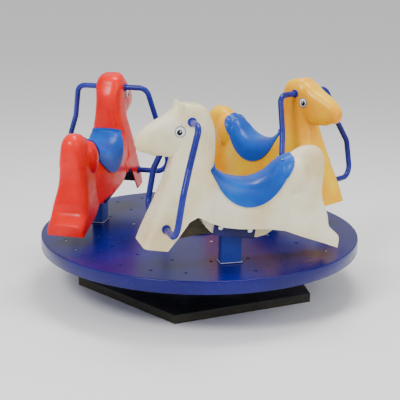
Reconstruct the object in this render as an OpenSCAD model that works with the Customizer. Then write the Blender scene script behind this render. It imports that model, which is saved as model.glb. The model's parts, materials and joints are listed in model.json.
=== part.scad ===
// Merry go round: three hobby horses on a round deck that turns on a pentagonal base.
// Frame: origin on the floor under the spindle, +Z up along the spindle.
// Horse frame: X towards the nose, Y to the horse's left (outwards), Z up from the deck.

/* [Base] */
// Centre-to-corner radius of the pentagonal base slab
base_r = 579; // [480:1:700]
// Thickness of the base slab
base_t = 40; // [25:1:60]
// Azimuth of the base slab's front corner
base_turn = -100; // [-126:1:-54]
// Pitch circle diameter of the anchor holes
anchor_pcd = 600; // [500:1:700]
// Radius of an anchor hole
anchor_hole_r = 7; // [5:0.5:10]

/* [Deck] */
// Outer radius of the deck
deck_r = 750; // [700:1:900]
// Height of the deck's top face above the floor
deck_top_z = 259; // [250:1:320]
// Thickness of the deck sheet
deck_t = 4; // [3:0.5:6]
// Depth of the rim band, from the top face down
rim_h = 58; // [50:1:75]
// Thickness of the rim band
rim_t = 6; // [4:0.5:8]
// Rounding of the rim's outer top edge
rim_round = 5; // [2:0.5:6]
// Radius of a drain hole
drain_r = 8; // [5:0.5:10]
// Radius of the outer ring of drain holes
drain_outer_r = 647; // [630:1:690]
// Drain holes in the outer ring, for each horse
drain_outer_n = 9; // [6:1:9]
// Radius of the inner ring of drain holes
drain_inner_r = 487; // [460:1:495]
// Drain holes in the inner ring, for each horse
drain_inner_n = 6; // [3:3:6]

/* [Deck frame] */
// Width of a main arm
arm_w = 60; // [50:1:70]
// Height of every arm and brace bar
arm_h = 40; // [30:1:50]
// Width of a cross arm and of a brace bar
cross_w = 40; // [30:1:50]
// Wall of the box tubes
tube_wall = 3; // [2:0.5:5]
// Radius at which the brace bars meet the arms
brace_r = 575; // [540:1:590]

/* [Hub and bearings] */
// Outer radius of the hub
hub_r = 70; // [66:1:80]
// Radius of the spindle at the bearings
spindle_r = 30; // [28:0.5:31]
// Radius of a bearing ball
ball_r = 8; // [7:0.25:8]
// Balls in each bearing
ball_n = 12; // [8:1:13]
// Pitch radius of the balls
ball_pitch_r = 45; // [44.5:0.5:46]
// Outer radius of the bearings
bearing_r = 57.5; // [57:0.5:58]
// Height of each bearing
bearing_h = 20; // [18:1:22]
// Radius of the spindle flange
flange_r = 110; // [100:1:140]
// Thickness of the spindle flange
flange_t = 14; // [10:1:16]
// Pitch circle diameter of the flange bolts
flange_pcd = 170; // [160:1:180]
// Radius of the hub cap
cap_r = 92; // [86:1:110]
// Height of the hub cap
cap_h = 30; // [24:1:50]

/* [Horses] */
// Radius from the spindle to the middle of each horse
horse_r = 503; // [490:1:530]
// Azimuth of the first horse
horse_turn = -74; // [-90:1:-60]
// Wall of the moulded shell
shell_wall = 6; // [4:0.5:8]
// Thickness of the moulded saddle
saddle_t = 7; // [5:0.5:9]
// Length of the post along the horse
post_l = 90; // [70:1:100]
// Width of the post across the horse
post_w = 50; // [40:1:70]
// Nose-up tilt of the mounting bracket
bracket_tilt = 9; // [5:1:11]
// Length of the mounting bracket
bracket_l = 186; // [170:1:200]
// Height of the mounting bracket
bracket_h = 50; // [44:1:54]
// Plate thickness of the mounting bracket
bracket_t = 6; // [5:0.5:8]
// Half width of the keel that the bracket holds
keel_half_w = 53; // [45:1:58]

/* [Handles] */
// Outer radius of the handle tube
handle_r = 12.7; // [11:0.1:14]
// Wall of the handle tube
handle_wall = 2.5; // [2:0.1:4]
// Reach of the handles from the middle of the horse
handle_reach = 256; // [240:1:280]

/* [Fasteners] */
// Radius of the larger bolts' shanks
bolt_r = 6; // [5:0.5:6]
// Radius of the small screws' shanks
screw_r = 2.5; // [2:0.25:3]

/* [Fits] */
// Clearance between pieces that are fixed together
fixed_gap = 0.2; // [0.1:0.05:0.3]
// Clearance between faces that move past each other
moving_gap = 0.3; // [0.2:0.05:0.5]
// Radial clearance of a bearing seat
seat_gap = 0.03; // [0.01:0.01:0.1]

/* [Hidden] */
$fn = 64;
HORSES = [0, 1, 2];
COATS = ["white", "yellow", "red"];
COAT_COLOURS = ["ivory", "gold", "red"];
PAINT = "royalblue";
ZINC = "gainsboro";
BIG = 2000;

rim_bottom_z = deck_top_z - rim_h;
deck_under_z = deck_top_z - deck_t;
arm_z = deck_under_z - arm_h;
sheet_r = deck_r - rim_t;
horse_az = [for (i = HORSES) horse_turn + 120 * i];

// Stack of the hub, from the base slab up
flange_top_z = base_t + flange_t;
shoulder_h = 30;
bolt_floor = 10;
lower_z = flange_top_z + shoulder_h;
hub_floor_z = lower_z - 8;
thread_r = spindle_r - 3;
nut_h = 16;
washer_t = 3;
spindle_top_z = deck_under_z - 8;
upper_z = spindle_top_z - nut_h - washer_t - bearing_h - 5;
shoulder_r = ball_pitch_r - ball_r + 1;
inner_ring_r = ball_pitch_r - 4;
outer_ring_r = ball_pitch_r + 4;
cage_half_t = 2;
cage_h = 18;
shoulder_bore_r = outer_ring_r + 3;
spigot_r = spindle_r + 6;

// Bracket and keel, in a frame tilted with the horse
mount_x = 7;
mount_z = 154;
bracket_base_v = -bracket_h / 2;
keel_bottom_v = bracket_base_v + bracket_t;
cross_bolt_u = 66;
cross_bolt_v = 12;
floor_v = bracket_h / 2 + 4;
floor_t = 8;

// Handle route on the left side: x, y, z and the bend radius at each corner
head_socket = [201, 633];
leg_socket = [315, 195];
socket_depth = 38;
handle_elbow_r = 45;
handle_sway_r = 60;
handle_curl_r = 62;
handle_route = [
    [head_socket[0], 28, head_socket[1], 0],
    [head_socket[0], 176, head_socket[1], handle_elbow_r],
    [252, 212, 470, handle_sway_r],
    [286, handle_reach - 3, 372, handle_sway_r],
    [leg_socket[0], handle_reach, leg_socket[1], handle_curl_r],
    [leg_socket[0], 28, leg_socket[1], 0]
];
// Half widths of the shell's outer faces at the eyes and the two handle sockets
eye_face_y = 62.8;
head_face_y = 66;
leg_face_y = 97.9;
sleeve_r = handle_r + 3.3;
sleeve_bore_r = handle_r + fixed_gap;
collar_r = sleeve_r + 3.5;
collar_lip = 7;

// Cross-sections of the horse's body. Each holds the two ends of its middle line, its half
// width, and -1 or 1 where the hollow inside opens at its first or second end.
// Rear leg and rump, from the hoof up: back end, then front end
RUMP = [
    [-470, 107, -459, 55, 88, 1],
    [-428, 150, -392, 82, 90, 1],
    [-408, 200, -290, 117, 86, 1],
    [-404, 280, -212, 152, 74, 1],
    [-401, 370, -212, 300, 64, 0],
    [-394, 440, -222, 420, 58, 0],
    [-384, 478, -242, 470, 51, 0],
    [-362, 496, -290, 494, 32, 0]
];
// Belly and seat, from the chest back: underside, then seat
BELLY = [
    [178, 236, 170, 470, 88, -1],
    [120, 206, 112, 440, 92, -1],
    [60, 184, 60, 398, 95, -1],
    [0, 174, 5, 374, 96, -1],
    [-77, 168, -77, 366, 95, -1],
    [-150, 160, -146, 392, 88, -1],
    [-215, 146, -195, 436, 76, -1],
    [-290, 118, -262, 470, 60, -1]
];
// Front leg, chest and neck, from the foot up: back end, then front end
NECK = [
    [307, 98, 407, 114, 99, -1],
    [264, 150, 389, 160, 98, -1],
    [214, 218, 354, 240, 97, -1],
    [150, 292, 330, 302, 95, 0],
    [108, 370, 304, 372, 89, 0],
    [95, 448, 284, 432, 78, 0],
    [87, 518, 276, 486, 66, 0],
    [89, 590, 290, 560, 63, 0],
    [107, 640, 262, 640, 66, 0],
    [124, 672, 240, 682, 52, 0],
    [160, 690, 215, 701, 28, 0]
];
// Head, from the nose back: chin side, then brow side
HEAD = [
    [439, 535, 437, 562, 18, 0],
    [428, 514, 424, 584, 33, 0],
    [403, 503, 398, 610, 40, 0],
    [372, 500, 350, 640, 47, 0],
    [330, 490, 296, 665, 56, 0],
    [288, 482, 248, 692, 62, 0],
    [210, 510, 180, 690, 60, 0]
];
RING_N = 20;
ROUNDNESS = 3.4;
SQUARENESS = 16;
// How far the hollow runs on past an open end
open_reach = 60;

// An open end of a cross-section has square corners, so that its walls run straight down
function exponent(s, t) = s[5] * cos(t) > 0.01 ? SQUARENESS : ROUNDNESS;
function power(v, e) = sign(v) * pow(abs(v), 2 / e);
function low(s) = [s[0], s[1]];
function high(s) = [s[2], s[3]];
function lean(s) = (high(s) - low(s)) / norm(high(s) - low(s));
// One ring of points round a cross-section
function ring(s) = [
    for (k = [0:RING_N - 1])
        let (t = 360 * k / RING_N, e = exponent(s, t))
        let (m = (high(s) + low(s)) / 2 + (high(s) - low(s)) / 2 * power(cos(t), e))
        [m[0], s[4] * power(sin(t), e), m[1]]
];
// A cross-section drawn in by d on every closed side, and out past the body at an open end
function inset(s, d) =
    let (l = low(s) + lean(s) * (s[5] < 0 ? -open_reach : d))
    let (h = high(s) - lean(s) * (s[5] > 0 ? -open_reach : d))
    [l[0], l[1], h[0], h[1], s[4] - d, s[5]];
// A cross-section moved past the first of a row, away from the second
function before(row, share) = [
    for (k = [0:5]) k < 4 ? row[0][k] + (row[0][k] - row[1][k]) * share : row[0][k]
];
function hollow(row, from, last) = [for (i = [from:last]) inset(row[i], shell_wall)];

// Solid through a row of cross-sections
module loft(row) {
    n = RING_N;
    m = len(row) - 1;
    points = [for (s = row) each ring(s)];
    sides = [
        for (i = [0:m - 1])
        for (k = [0:n - 1])
        for (f = [0, 1])
        let (a = i * n + k, b = i * n + (k + 1) % n)
        f == 0 ? [a, a + n, b + n] : [a, b + n, b]
    ];
    bottom = [for (k = [0:n - 1]) k];
    top = [for (k = [n - 1:-1:0]) m * n + k];
    polyhedron(points = points, faces = concat([bottom], sides, [top]));
}

module at_horse(i) {
    rotate([0, 0, horse_az[i]]) translate([horse_r, 0, deck_top_z]) rotate([0, 0, -90]) children();
}

// The frame of the bracket, tilted nose up, with its origin in the middle of the bracket
module tilted() {
    translate([mount_x, 0, mount_z]) rotate([0, -bracket_tilt, 0]) children();
}

// A cylinder along Y, centred on the horse's middle plane
module cross_bar(r, half_l) {
    rotate([90, 0, 0]) cylinder(r = r, h = 2 * half_l, center = true);
}

// Children on both sides of the horse
module both_sides() {
    children();
    mirror([0, 1, 0]) children();
}

// A row of cross-sections grown by extra on every side
function grown(row, extra) = [
    for (s = row)
        let (l = low(s) - lean(s) * extra, h = high(s) + lean(s) * extra)
        [l[0], l[1], h[0], h[1], s[4] + extra, s[5]]
];
// The horse's outer form, grown by extra all round
module body_form(extra = 0) {
    loft(grown(RUMP, extra));
    loft(grown(BELLY, extra));
    loft(grown(NECK, extra));
}

module horse_hollow() {
    loft(concat([inset(before(RUMP, -0.15), shell_wall)], hollow(RUMP, 1, 6)));
    loft(hollow(BELLY, 0, 7));
    loft(concat([inset(before(NECK, 0.5), shell_wall)], hollow(NECK, 0, 9)));
    loft(hollow(HEAD, 1, 6));
}

// Outline of the keel in the tilted frame, extruded across the horse, moved forward by shift
module keel(shift = 0) {
    tilted() translate([shift, 0, 0]) rotate([90, 0, 0]) linear_extrude(2 * keel_half_w, center = true)
        polygon([
            [-190, floor_v + floor_t / 2], [-146, -4], [-106, keel_bottom_v],
            [95, keel_bottom_v], [124, 2], [150, 26], [163, floor_v + floor_t / 2]
        ]);
}

// The layer that the hollow leaves out, which closes the body above the keel
module belly_floor() {
    tilted() translate([-203, -BIG / 2, floor_v]) cube([388, BIG, floor_t]);
}

module ears() {
    both_sides() hull() {
        translate([222, 30, 668]) sphere(r = 12, $fn = 16);
        translate([232, 30, 686]) sphere(r = 9, $fn = 16);
        translate([247, 31, 706]) sphere(r = 2.5, $fn = 16);
    }
}

module socket_holes(r) {
    translate([head_socket[0], 0, head_socket[1]]) cross_bar(r, handle_reach / 2);
    translate([leg_socket[0], 0, leg_socket[1]]) cross_bar(r, handle_reach / 2);
}

module cross_bolt_holes(r) {
    tilted() for (u = [-cross_bolt_u, cross_bolt_u])
        translate([u, 0, cross_bolt_v]) cross_bar(r, post_l);
}

module horse_shell(i) {
    color(COAT_COLOURS[i]) at_horse(i) difference() {
        union() {
            difference() {
                union() {
                    body_form();
                    loft(HEAD);
                    if (i == 0) ears();
                }
                difference() {
                    horse_hollow();
                    belly_floor();
                }
            }
            keel();
        }
        socket_holes(sleeve_r + fixed_gap);
        cross_bolt_holes(bolt_r + fixed_gap);
        saddle_screw_holes();
    }
}

// Board inside the shell that ties the keel and the floor to the leg's sleeve
board_half_t = 9;
board_gap = 0.1;
module leg_board(i) {
    color("saddlebrown") at_horse(i) difference() {
        rotate([90, 0, 0]) linear_extrude(2 * board_half_t, center = true)
            polygon([[106, 139], [236, 124], [leg_socket[0], 168], [leg_socket[0], 240], [106, 262]]);
        keel(board_gap);
        tilted() translate([-BIG / 2, -BIG / 2, floor_v - board_gap]) cube(BIG);
        translate([leg_socket[0], 0, leg_socket[1]]) cross_bar(sleeve_r + board_gap, 2 * board_half_t);
    }
}

// Side outline of the saddle, extruded across the horse
saddle_top = [-236, 478];
module saddle_outline() {
    rotate([90, 0, 0]) linear_extrude(BIG, center = true)
        polygon([
            [112, 480], [98, 405], [74, 340], [30, 292], [-35, 268], [-105, 278],
            [-165, 315], [-210, 375], [-238, 440], saddle_top, [-200, 520]
        ]);
}

module horse_saddle(i) {
    color("dodgerblue") at_horse(i) difference() {
        intersection() {
            union() {
                loft(grown(BELLY, saddle_t));
                loft(grown(RUMP, saddle_t));
            }
            saddle_outline();
        }
        body_form();
        saddle_screw_holes();
    }
}

// Two dome-headed screws near the rear edge of each saddle, square to its outer face there
screw_seat = [-210, 28, 448.1];
screw_tilt = [-6, 26, 0];
screw_head_r = 8;
screw_head_h = 2;
screw_shank = 18;
module saddle_screw_places() {
    for (side = [-1, 1])
        translate([screw_seat[0], side * screw_seat[1], screw_seat[2]])
            rotate([side * screw_tilt[0], screw_tilt[1], 0]) children();
}
module saddle_screw_holes() {
    saddle_screw_places() translate([0, 0, -screw_shank - 2])
        cylinder(r = screw_r + fixed_gap, h = screw_shank + 12);
}
module saddle_screws() {
    color(ZINC) for (i = HORSES) at_horse(i) saddle_screw_places() {
        translate([0, 0, -screw_shank]) cylinder(r = screw_r, h = screw_shank);
        cylinder(r = screw_head_r, h = screw_head_h);
        translate([0, 0, screw_head_h])
            cylinder(r1 = screw_head_r - 1, r2 = screw_head_r / 2, h = screw_head_h + 0.5);
    }
}

eye_at = [249, 594];
eye_r = 20;
eye_t = 5;
pupil_r = 10;
pupil_t = 2;
module side_disc(at, face_y, r, t) {
    translate([at[0], face_y + t, at[1]]) rotate([90, 0, 0]) cylinder(r = r, h = t);
}
module eye_whites() {
    color("white") for (i = HORSES) at_horse(i) both_sides()
        side_disc(eye_at, eye_face_y, eye_r, eye_t);
}

module pupils() {
    color("black") for (i = HORSES) at_horse(i) both_sides()
        side_disc([eye_at[0] + 3, eye_at[1]], eye_face_y + eye_t, pupil_r, pupil_t);
}

// A round tube through the corners of a route, with a round bend at each inner corner.
// A stop is a point of its middle line and the direction there.
TUBE_SIDES = 12;
BEND_STEP = 12;
function point(p) = [p[0], p[1], p[2]];
function unit(v) = v / norm(v);
function way(route, k) = unit(point(route[k + 1]) - point(route[k]));
function turn_at(route, k) = acos(way(route, k - 1) * way(route, k));
function bend_stops(route, k) =
    let (d = way(route, k - 1), z = unit(cross(d, way(route, k))), x = cross(d, z))
    let (r = route[k][3], turn = turn_at(route, k), steps = ceil(turn / BEND_STEP))
    let (centre = point(route[k]) - d * r * tan(turn / 2) - x * r)
    [
        for (j = [0:steps])
            let (a = turn * j / steps)
            [centre + r * (x * cos(a) + d * sin(a)), d * cos(a) - x * sin(a)]
    ];
function stops(route) =
    let (last = len(route) - 1)
    concat(
        [[point(route[0]), way(route, 0)]],
        [for (k = [1:last - 1]) each bend_stops(route, k)],
        [[point(route[last]), way(route, last - 1)]]
    );
function round_ring(stop, r) =
    let (u = unit(cross(stop[1], [1, 0, 0])), v = cross(stop[1], u), step = 360 / TUBE_SIDES)
    [for (k = [0:TUBE_SIDES - 1]) stop[0] + r * (u * cos(step * k) + v * sin(step * k))];
module bent_tube(route, r, wall) {
    n = TUBE_SIDES;
    line = stops(route);
    m = len(line) - 1;
    inner = (m + 1) * n;
    points = [for (rad = [r, r - wall]) for (s = line) each round_ring(s, rad)];
    sides = [
        for (i = [0:m - 1])
        for (k = [0:n - 1])
        let (a = i * n + k, b = i * n + (k + 1) % n)
        each [
            [a, a + n, b + n], [a, b + n, b],
            [inner + a, inner + b + n, inner + a + n], [inner + a, inner + b, inner + b + n]
        ]
    ];
    ends = [
        for (k = [0:n - 1])
        let (a = k, b = (k + 1) % n, c = m * n)
        each [
            [a, b, inner + b], [a, inner + b, inner + a],
            [c + a, inner + c + b, c + b], [c + a, inner + c + a, inner + c + b]
        ]
    ];
    polyhedron(points = points, faces = concat(sides, ends));
}

module handle(i, side) {
    color("mediumblue") at_horse(i) mirror([0, side < 0 ? 1 : 0, 0])
        bent_tube(handle_route, handle_r, handle_wall);
}

// Tubes through the head and the leg that take the handles' ends
module sleeve(at, half_l) {
    translate([at[0], 0, at[1]]) difference() {
        cross_bar(sleeve_r, half_l);
        cross_bar(sleeve_bore_r, half_l + 1);
    }
}
module handle_sleeves() {
    color("silver") for (i = HORSES) at_horse(i) {
        sleeve(head_socket, head_face_y);
        sleeve(leg_socket, leg_face_y);
    }
}

// Collars that butt against the sleeves' ends
module collar(at, face_y) {
    difference() {
        side_disc(at, face_y, collar_r, collar_lip);
        side_disc(at, face_y - 1, sleeve_bore_r, collar_lip + 2);
    }
}
module handle_collars() {
    color("slateblue") for (i = HORSES) at_horse(i) both_sides() {
        collar(head_socket, head_face_y);
        collar(leg_socket, leg_face_y);
    }
}

module post(i) {
    foot_bead = 4;
    top_cut = bracket_base_v - 0.01;
    color(PAINT) at_horse(i) difference() {
        union() {
            translate([mount_x - post_l / 2, -post_w / 2, -deck_t]) cube([post_l, post_w, mount_z]);
            translate([mount_x - post_l / 2 - foot_bead, -post_w / 2 - foot_bead, 0])
                cube([post_l + 2 * foot_bead, post_w + 2 * foot_bead, foot_bead]);
        }
        tilted() translate([-BIG / 2, -BIG / 2, bracket_base_v]) cube(BIG);
        translate([mount_x - post_l / 2 + tube_wall, -post_w / 2 + tube_wall, -deck_t - 1])
            cube([post_l - 2 * tube_wall, post_w - 2 * tube_wall, BIG]);
    }
}

module bracket(i) {
    half_in = keel_half_w + fixed_gap;
    half_out = half_in + bracket_t;
    color("navy") at_horse(i) difference() {
        tilted() difference() {
            translate([-bracket_l / 2, -half_out, bracket_base_v])
                cube([bracket_l, 2 * half_out, bracket_h]);
            translate([-BIG / 2, -half_in, keel_bottom_v - fixed_gap]) cube([BIG, 2 * half_in, BIG]);
        }
        cross_bolt_holes(bolt_r + fixed_gap);
    }
}

// A hex bolt along +Z with its head under Z = 0, and a nut whose inner face is at nut_at
module hex_bolt(r, shank, nut_at = 0) {
    translate([0, 0, -0.62 * 2 * r]) cylinder(r = 1.9 * r, h = 0.62 * 2 * r, $fn = 6);
    cylinder(r = r, h = shank);
    if (nut_at > 0) translate([0, 0, nut_at]) difference() {
        cylinder(r = 1.9 * r, h = 1.6 * r, $fn = 6);
        translate([0, 0, -1]) cylinder(r = r, h = 2 * r);
    }
}
module bracket_bolts() {
    half_out = keel_half_w + fixed_gap + bracket_t;
    color(ZINC) for (i = HORSES) at_horse(i) tilted() for (u = [-cross_bolt_u, cross_bolt_u])
        translate([u, half_out, cross_bolt_v]) rotate([90, 0, 0])
            hex_bolt(bolt_r, 2 * half_out + 14, 2 * half_out);
}

module base_slab() {
    color("#1d1b14") difference() {
        rotate([0, 0, base_turn]) cylinder(r = base_r, h = base_t, $fn = 5);
        for (k = [0:4]) rotate([0, 0, base_turn + 72 * k]) translate([anchor_pcd / 2, 0, -1])
            cylinder(r = anchor_hole_r, h = base_t + 2);
        flange_bolt_places() translate([0, 0, -base_t + bolt_floor - 2])
            cylinder(r = bolt_r + seat_gap, h = base_t);
    }
}

module flange_bolt_places() {
    for (k = [0:5]) rotate([0, 0, 60 * k]) translate([flange_pcd / 2, 0, base_t]) children();
}

module spindle_flange() {
    color("dimgray") difference() {
        translate([0, 0, base_t]) cylinder(r = flange_r, h = flange_t);
        translate([0, 0, base_t - 1]) cylinder(r = spigot_r + fixed_gap, h = flange_t + 2);
        flange_bolt_places() translate([0, 0, -1]) cylinder(r = bolt_r + fixed_gap, h = flange_t + 2);
    }
}

module flange_bolts() {
    color(ZINC) flange_bolt_places() translate([0, 0, flange_t]) mirror([0, 0, 1])
        hex_bolt(bolt_r, flange_t + base_t - bolt_floor);
}

module spindle() {
    color("silver") rotate_extrude() polygon([
        [0, base_t], [spigot_r, base_t], [spigot_r, flange_top_z], [shoulder_r, flange_top_z],
        [shoulder_r, lower_z], [spindle_r, lower_z], [spindle_r, upper_z + bearing_h],
        [thread_r, upper_z + bearing_h], [thread_r, spindle_top_z - 2], [thread_r - 2, spindle_top_z],
        [0, spindle_top_z]
    ]);
}

// Groove in which the balls of a bearing run
module race(z) {
    translate([0, 0, z + bearing_h / 2]) rotate_extrude()
        translate([ball_pitch_r, 0]) circle(r = ball_r + moving_gap);
}
module inner_ring(z) {
    color("silver") difference() {
        translate([0, 0, z]) cylinder(r = inner_ring_r, h = bearing_h);
        translate([0, 0, z - 1]) cylinder(r = spindle_r + seat_gap, h = bearing_h + 2);
        race(z);
    }
}
module outer_ring(z) {
    color("silver") difference() {
        translate([0, 0, z]) cylinder(r = bearing_r, h = bearing_h);
        translate([0, 0, z - 1]) cylinder(r = outer_ring_r, h = bearing_h + 2);
        race(z);
    }
}
module ball_places(z) {
    for (k = [0:ball_n - 1]) rotate([0, 0, 360 * k / ball_n])
        translate([ball_pitch_r, 0, z + bearing_h / 2]) children();
}
module balls(z) {
    color("white") ball_places(z) sphere(r = ball_r);
}
module cage(z) {
    color("goldenrod") difference() {
        translate([0, 0, z + (bearing_h - cage_h) / 2]) difference() {
            cylinder(r = ball_pitch_r + cage_half_t, h = cage_h);
            translate([0, 0, -1]) cylinder(r = ball_pitch_r - cage_half_t, h = cage_h + 2);
        }
        ball_places(z) rotate([0, 90, 0]) cylinder(r = ball_r + fixed_gap, h = 20, center = true);
    }
}

module spindle_nut() {
    z = upper_z + bearing_h;
    color(ZINC) difference() {
        union() {
            translate([0, 0, z]) cylinder(r = inner_ring_r, h = washer_t);
            translate([0, 0, z + washer_t]) cylinder(r = inner_ring_r, h = nut_h, $fn = 6);
        }
        translate([0, 0, z - 1]) cylinder(r = thread_r + seat_gap, h = nut_h + washer_t + 2);
    }
}

module hub() {
    seat_r = bearing_r + seat_gap;
    color("slategray") difference() {
        translate([0, 0, hub_floor_z]) cylinder(r = hub_r, h = deck_under_z - hub_floor_z);
        translate([0, 0, hub_floor_z - 1]) cylinder(r = seat_r, h = lower_z + bearing_h - hub_floor_z + 1);
        translate([0, 0, hub_floor_z]) cylinder(r = shoulder_bore_r, h = upper_z - hub_floor_z + 1);
        translate([0, 0, upper_z]) cylinder(r = seat_r, h = BIG);
    }
}

module hub_seal() {
    color("black") translate([0, 0, hub_floor_z]) difference() {
        cylinder(r = bearing_r, h = 6);
        translate([0, 0, -1]) cylinder(r = shoulder_r + moving_gap, h = 8);
    }
}

cap_screw_r = cap_r - 10;
cap_t = 4;
cap_dome_r = 1.6 * hub_r;
module cap_screw_places() {
    for (k = [0:3]) rotate([0, 0, 45 + 90 * k]) translate([cap_screw_r, 0, deck_top_z]) children();
}
module hub_cap() {
    color("midnightblue") difference() {
        translate([0, 0, deck_top_z]) rotate_extrude() difference() {
            union() {
                square([cap_r, cap_t]);
                intersection() {
                    translate([0, cap_h - cap_dome_r]) circle(r = cap_dome_r, $fn = 128);
                    square([hub_r, cap_h]);
                }
            }
            intersection() {
                translate([0, cap_h - cap_dome_r]) circle(r = cap_dome_r - cap_t, $fn = 128);
                square([hub_r - cap_t, cap_h]);
            }
        }
        cap_screw_places() translate([0, 0, -1]) cylinder(r = screw_r + fixed_gap, h = 9);
    }
}
module cap_screws() {
    color(ZINC) cap_screw_places() {
        translate([0, 0, -deck_t]) cylinder(r = screw_r, h = deck_t + cap_t);
        translate([0, 0, cap_t]) cylinder(r1 = 5, r2 = 3.5, h = 2.5);
    }
}

// A box tube along +X from the spindle's axis, with square walls
module box_tube(l, w) {
    translate([0, -w / 2, arm_z]) difference() {
        cube([l, w, arm_h]);
        translate([-1, tube_wall, tube_wall]) cube([l + 2, w - 2 * tube_wall, arm_h - 2 * tube_wall]);
    }
}
module arms(w, l, first) {
    for (k = HORSES) rotate([0, 0, first + 120 * k]) difference() {
        box_tube(l, w);
        translate([0, 0, arm_z - 1]) cylinder(r = hub_r, h = arm_h + 2);
    }
}
module arm_block(w, l, first) {
    for (k = HORSES) rotate([0, 0, first + 120 * k])
        translate([0, -w / 2, arm_z - 1]) cube([l, w, arm_h + 2]);
}
main_arm_l = sqrt(pow(sheet_r, 2) - pow(arm_w / 2, 2)) - 0.3;
cross_arm_l = brace_r;
module main_arms() {
    color("steelblue") arms(arm_w, main_arm_l, horse_turn);
}
module cross_arms() {
    color("steelblue") arms(cross_w, cross_arm_l, horse_turn + 60);
}

// Straight bars that join the arms in a hexagon
module brace_bars() {
    reach = brace_r * cos(30) - cross_w / 2;
    color("steelblue") difference() {
        for (k = [0:5]) rotate([0, 0, horse_turn + 30 + 60 * k])
            translate([reach - cross_w / 2, 0, 0]) rotate([0, 0, 90])
                translate([-brace_r / 2 + 5, 0, 0]) box_tube(brace_r - 10, cross_w);
        arm_block(arm_w, main_arm_l, horse_turn);
        arm_block(cross_w, cross_arm_l, horse_turn + 60);
    }
}

deck_screw_r = [200, 330];
module deck_screw_places() {
    for (k = [0:5]) for (r = deck_screw_r)
        rotate([0, 0, horse_turn + 60 * k]) translate([r, 0, deck_top_z]) children();
}
module deck_plate() {
    outer_step = 120 / drain_outer_n;
    inner_step = 120 / drain_inner_n;
    color(PAINT) difference() {
        translate([0, 0, deck_under_z]) cylinder(r = sheet_r, h = deck_t, $fn = 180);
        translate([0, 0, deck_under_z - 1]) cylinder(r = hub_r, h = deck_t + 2);
        for (k = [0:3 * drain_outer_n - 1])
            rotate([0, 0, horse_turn + 5.8 + outer_step * k]) translate([drain_outer_r, 0, deck_under_z - 1])
                cylinder(r = drain_r, h = deck_t + 2);
        for (k = [0:3 * drain_inner_n - 1])
            rotate([0, 0, horse_turn + inner_step * (k + 0.5)])
                translate([drain_inner_r, 0, deck_under_z - 1]) cylinder(r = drain_r, h = deck_t + 2);
        for (i = HORSES) at_horse(i) translate([mount_x, 0, -deck_t / 2])
            cube([post_l + 2 * fixed_gap, post_w + 2 * fixed_gap, deck_t + 2], center = true);
        cap_screw_places() translate([0, 0, -deck_t - 1]) cylinder(r = screw_r + fixed_gap, h = deck_t + 2);
        deck_screw_places() {
            translate([0, 0, -deck_t - 1]) cylinder(r = screw_r + 1.5 + fixed_gap, h = deck_t + 2);
            translate([0, 0, -2]) cylinder(r = 8 + fixed_gap, h = 3);
        }
    }
}

module deck_rim() {
    color(PAINT) rotate_extrude($fn = 180) difference() {
        translate([sheet_r, rim_bottom_z]) square([rim_t, rim_h]);
        translate([deck_r - rim_round, deck_top_z - rim_round]) difference() {
            square(rim_round + 1);
            circle(r = rim_round, $fn = 48);
        }
    }
}

module deck_screws() {
    color(ZINC) deck_screw_places() {
        translate([0, 0, -2]) cylinder(r = 8, h = 2);
        translate([0, 0, -deck_t]) cylinder(r = screw_r + 1.5, h = deck_t - 1);
    }
}

base_slab();
spindle_flange();
flange_bolts();
spindle();
inner_ring(lower_z);  // lower_inner_ring
inner_ring(upper_z);  // upper_inner_ring
spindle_nut();
balls(lower_z);  // lower_balls
cage(lower_z);  // lower_cage
balls(upper_z);  // upper_balls
cage(upper_z);  // upper_cage
hub();
outer_ring(lower_z);  // lower_outer_ring
outer_ring(upper_z);  // upper_outer_ring
hub_seal();
hub_cap();
cap_screws();
main_arms();
cross_arms();
brace_bars();
deck_plate();
deck_rim();
deck_screws();
post(0);  // white_post
bracket(0);  // white_bracket
horse_shell(0);  // white_shell
leg_board(0);  // white_leg_board
horse_saddle(0);  // white_saddle
handle(0, 1);  // white_left_handle
handle(0, -1);  // white_right_handle
post(1);  // yellow_post
bracket(1);  // yellow_bracket
horse_shell(1);  // yellow_shell
leg_board(1);  // yellow_leg_board
horse_saddle(1);  // yellow_saddle
handle(1, 1);  // yellow_left_handle
handle(1, -1);  // yellow_right_handle
post(2);  // red_post
bracket(2);  // red_bracket
horse_shell(2);  // red_shell
leg_board(2);  // red_leg_board
horse_saddle(2);  // red_saddle
handle(2, 1);  // red_left_handle
handle(2, -1);  // red_right_handle
bracket_bolts();
saddle_screws();
eye_whites();
pupils();
handle_sleeves();
handle_collars();
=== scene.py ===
import json
import math

import bmesh
import bpy
import numpy as np
from mathutils import Matrix, Vector

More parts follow.
